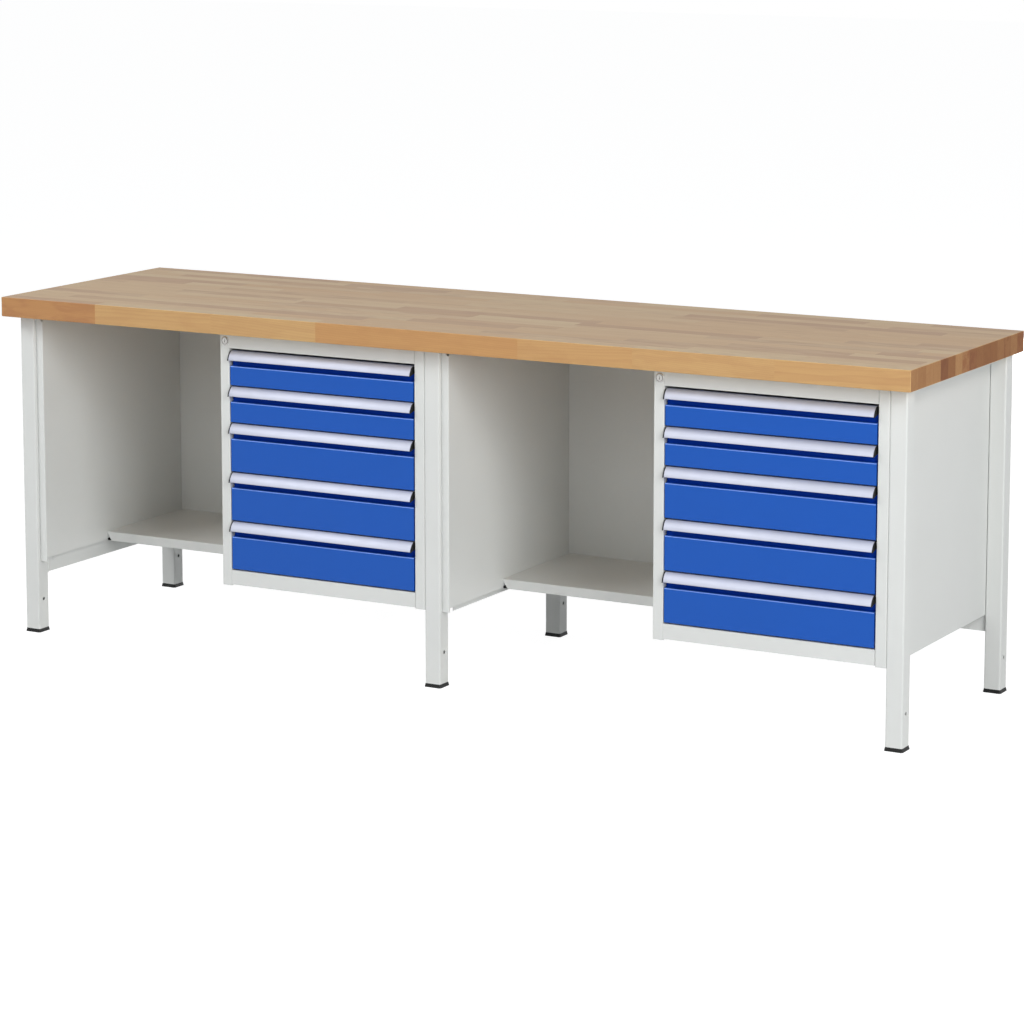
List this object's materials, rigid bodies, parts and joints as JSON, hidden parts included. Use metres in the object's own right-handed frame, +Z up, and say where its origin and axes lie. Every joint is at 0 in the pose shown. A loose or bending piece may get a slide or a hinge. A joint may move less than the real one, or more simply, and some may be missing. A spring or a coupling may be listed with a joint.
{
  "type": "workbench",
  "caption": "Long steel-framed workbench with a laminated beech top, two lockable drawer cabinets and two open bays with half-depth shelves.",
  "frame": {"origin": "on the floor, under the middle of the worktop", "axes": "+X along the bench to its right as seen from the front, +Y to its back, +Z up"},
  "size_m": [2.5, 0.7, 0.88],
  "materials": {
    "beech": "oiled laminated beech, satin",
    "frame_coat": "light grey powder coat, fine texture",
    "drawer_blue": "blue powder coat, satin",
    "tray_coat": "grey powder coat",
    "handle_aluminium": "satin anodised",
    "zinc_plate": "bright zinc plated",
    "lock_nickel": "nickel plated",
    "black_plastic": "matte"
  },
  "bodies": {
    "bench": {"cabinet_slides": "zinc_plate", "centre_leg_frame": "frame_coat", "centre_side_panel": "frame_coat", "left_back_panel": "frame_coat", "left_cabinet_casing": "frame_coat", "left_leg_frame": "frame_coat", "left_shelf": "frame_coat", "left_side_panel": "frame_coat", "leg_feet": "black_plastic", "lock_barrels": "lock_nickel", "right_back_panel": "frame_coat", "right_cabinet_casing": "frame_coat", "right_leg_frame": "frame_coat", "right_shelf": "frame_coat", "worktop": "beech", "worktop_screws": "zinc_plate"},
    "left_drawer_1": {"left_drawer_1_tray": "tray_coat", "left_drawer_1_front": "drawer_blue", "left_drawer_1_handle": "handle_aluminium"},
    "left_drawer_1_mid_members": {"left_drawer_1_mid_slides": "zinc_plate"},
    "left_drawer_2": {"left_drawer_2_tray": "tray_coat", "left_drawer_2_front": "drawer_blue", "left_drawer_2_handle": "handle_aluminium"},
    "left_drawer_2_mid_members": {"left_drawer_2_mid_slides": "zinc_plate"},
    "left_drawer_3": {"left_drawer_3_tray": "tray_coat", "left_drawer_3_front": "drawer_blue", "left_drawer_3_handle": "handle_aluminium"},
    "left_drawer_3_mid_members": {"left_drawer_3_mid_slides": "zinc_plate"},
    "left_drawer_4": {"left_drawer_4_tray": "tray_coat", "left_drawer_4_front": "drawer_blue", "left_drawer_4_handle": "handle_aluminium"},
    "left_drawer_4_mid_members": {"left_drawer_4_mid_slides": "zinc_plate"},
    "left_drawer_5": {"left_drawer_5_tray": "tray_coat", "left_drawer_5_front": "drawer_blue", "left_drawer_5_handle": "handle_aluminium"},
    "left_drawer_5_mid_members": {"left_drawer_5_mid_slides": "zinc_plate"},
    "left_lock_core": {"left_lock_core": "lock_nickel"},
    "left_lock_bar": {"left_lock_bar": "zinc_plate"},
    "right_drawer_1": {"right_drawer_1_tray": "tray_coat", "right_drawer_1_front": "drawer_blue", "right_drawer_1_handle": "handle_aluminium"},
    "right_drawer_1_mid_members": {"right_drawer_1_mid_slides": "zinc_plate"},
    "right_drawer_2": {"right_drawer_2_tray": "tray_coat", "right_drawer_2_front": "drawer_blue", "right_drawer_2_handle": "handle_aluminium"},
    "right_drawer_2_mid_members": {"right_drawer_2_mid_slides": "zinc_plate"},
    "right_drawer_3": {"right_drawer_3_tray": "tray_coat", "right_drawer_3_front": "drawer_blue", "right_drawer_3_handle": "handle_aluminium"},
    "right_drawer_3_mid_members": {"right_drawer_3_mid_slides": "zinc_plate"},
    "right_drawer_4": {"right_drawer_4_tray": "tray_coat", "right_drawer_4_front": "drawer_blue", "right_drawer_4_handle": "handle_aluminium"},
    "right_drawer_4_mid_members": {"right_drawer_4_mid_slides": "zinc_plate"},
    "right_drawer_5": {"right_drawer_5_tray": "tray_coat", "right_drawer_5_front": "drawer_blue", "right_drawer_5_handle": "handle_aluminium"},
    "right_drawer_5_mid_members": {"right_drawer_5_mid_slides": "zinc_plate"},
    "right_lock_core": {"right_lock_core": "lock_nickel"},
    "right_lock_bar": {"right_lock_bar": "zinc_plate"}
  },
  "joints": [
    {"name": "left_drawer_1_slide", "type": "slide", "parent": "bench", "child": "left_drawer_1", "axis": [0, -1, 0], "range_m": [0, 0.5375]},
    {"name": "left_drawer_1_mid_slide", "type": "slide", "parent": "bench", "child": "left_drawer_1_mid_members", "axis": [0, -1, 0], "range_m": [0, 0.26875]},
    {"name": "left_drawer_2_slide", "type": "slide", "parent": "bench", "child": "left_drawer_2", "axis": [0, -1, 0], "range_m": [0, 0.5375]},
    {"name": "left_drawer_2_mid_slide", "type": "slide", "parent": "bench", "child": "left_drawer_2_mid_members", "axis": [0, -1, 0], "range_m": [0, 0.26875]},
    {"name": "left_drawer_3_slide", "type": "slide", "parent": "bench", "child": "left_drawer_3", "axis": [0, -1, 0], "range_m": [0, 0.5375]},
    {"name": "left_drawer_3_mid_slide", "type": "slide", "parent": "bench", "child": "left_drawer_3_mid_members", "axis": [0, -1, 0], "range_m": [0, 0.26875]},
    {"name": "left_drawer_4_slide", "type": "slide", "parent": "bench", "child": "left_drawer_4", "axis": [0, -1, 0], "range_m": [0, 0.5375]},
    {"name": "left_drawer_4_mid_slide", "type": "slide", "parent": "bench", "child": "left_drawer_4_mid_members", "axis": [0, -1, 0], "range_m": [0, 0.26875]},
    {"name": "left_drawer_5_slide", "type": "slide", "parent": "bench", "child": "left_drawer_5", "axis": [0, -1, 0], "range_m": [0, 0.5375]},
    {"name": "left_drawer_5_mid_slide", "type": "slide", "parent": "bench", "child": "left_drawer_5_mid_members", "axis": [0, -1, 0], "range_m": [0, 0.26875]},
    {"name": "left_lock_turn", "type": "hinge", "parent": "bench", "child": "left_lock_core", "pos_m": [-0.5925, -0.305, 0.808], "axis": [0, 1, 0], "range_deg": [0, 90]},
    {"name": "left_lock_bar_lift", "type": "slide", "parent": "bench", "child": "left_lock_bar", "axis": [0, 0, 1], "range_m": [0, 0.012]},
    {"name": "right_drawer_1_slide", "type": "slide", "parent": "bench", "child": "right_drawer_1", "axis": [0, -1, 0], "range_m": [0, 0.5375]},
    {"name": "right_drawer_1_mid_slide", "type": "slide", "parent": "bench", "child": "right_drawer_1_mid_members", "axis": [0, -1, 0], "range_m": [0, 0.26875]},
    {"name": "right_drawer_2_slide", "type": "slide", "parent": "bench", "child": "right_drawer_2", "axis": [0, -1, 0], "range_m": [0, 0.5375]},
    {"name": "right_drawer_2_mid_slide", "type": "slide", "parent": "bench", "child": "right_drawer_2_mid_members", "axis": [0, -1, 0], "range_m": [0, 0.26875]},
    {"name": "right_drawer_3_slide", "type": "slide", "parent": "bench", "child": "right_drawer_3", "axis": [0, -1, 0], "range_m": [0, 0.5375]},
    {"name": "right_drawer_3_mid_slide", "type": "slide", "parent": "bench", "child": "right_drawer_3_mid_members", "axis": [0, -1, 0], "range_m": [0, 0.26875]},
    {"name": "right_drawer_4_slide", "type": "slide", "parent": "bench", "child": "right_drawer_4", "axis": [0, -1, 0], "range_m": [0, 0.5375]},
    {"name": "right_drawer_4_mid_slide", "type": "slide", "parent": "bench", "child": "right_drawer_4_mid_members", "axis": [0, -1, 0], "range_m": [0, 0.26875]},
    {"name": "right_drawer_5_slide", "type": "slide", "parent": "bench", "child": "right_drawer_5", "axis": [0, -1, 0], "range_m": [0, 0.5375]},
    {"name": "right_drawer_5_mid_slide", "type": "slide", "parent": "bench", "child": "right_drawer_5_mid_members", "axis": [0, -1, 0], "range_m": [0, 0.26875]},
    {"name": "right_lock_turn", "type": "hinge", "parent": "bench", "child": "right_lock_core", "pos_m": [0.6115, -0.305, 0.808], "axis": [0, 1, 0], "range_deg": [0, 90]},
    {"name": "right_lock_bar_lift", "type": "slide", "parent": "bench", "child": "right_lock_bar", "axis": [0, 0, 1], "range_m": [0, 0.012]}
  ],
  "couplings": [
    {"joint": "left_drawer_1_mid_slide", "follows": "left_drawer_1_slide", "ratio": 0.5},
    {"joint": "left_drawer_2_mid_slide", "follows": "left_drawer_2_slide", "ratio": 0.5},
    {"joint": "left_drawer_3_mid_slide", "follows": "left_drawer_3_slide", "ratio": 0.5},
    {"joint": "left_drawer_4_mid_slide", "follows": "left_drawer_4_slide", "ratio": 0.5},
    {"joint": "left_drawer_5_mid_slide", "follows": "left_drawer_5_slide", "ratio": 0.5},
    {"joint": "left_lock_turn", "follows": "left_lock_bar_lift", "rad_per_m": 130.9},
    {"joint": "right_drawer_1_mid_slide", "follows": "right_drawer_1_slide", "ratio": 0.5},
    {"joint": "right_drawer_2_mid_slide", "follows": "right_drawer_2_slide", "ratio": 0.5},
    {"joint": "right_drawer_3_mid_slide", "follows": "right_drawer_3_slide", "ratio": 0.5},
    {"joint": "right_drawer_4_mid_slide", "follows": "right_drawer_4_slide", "ratio": 0.5},
    {"joint": "right_drawer_5_mid_slide", "follows": "right_drawer_5_slide", "ratio": 0.5},
    {"joint": "right_lock_turn", "follows": "right_lock_bar_lift", "rad_per_m": 130.9}
  ]
}
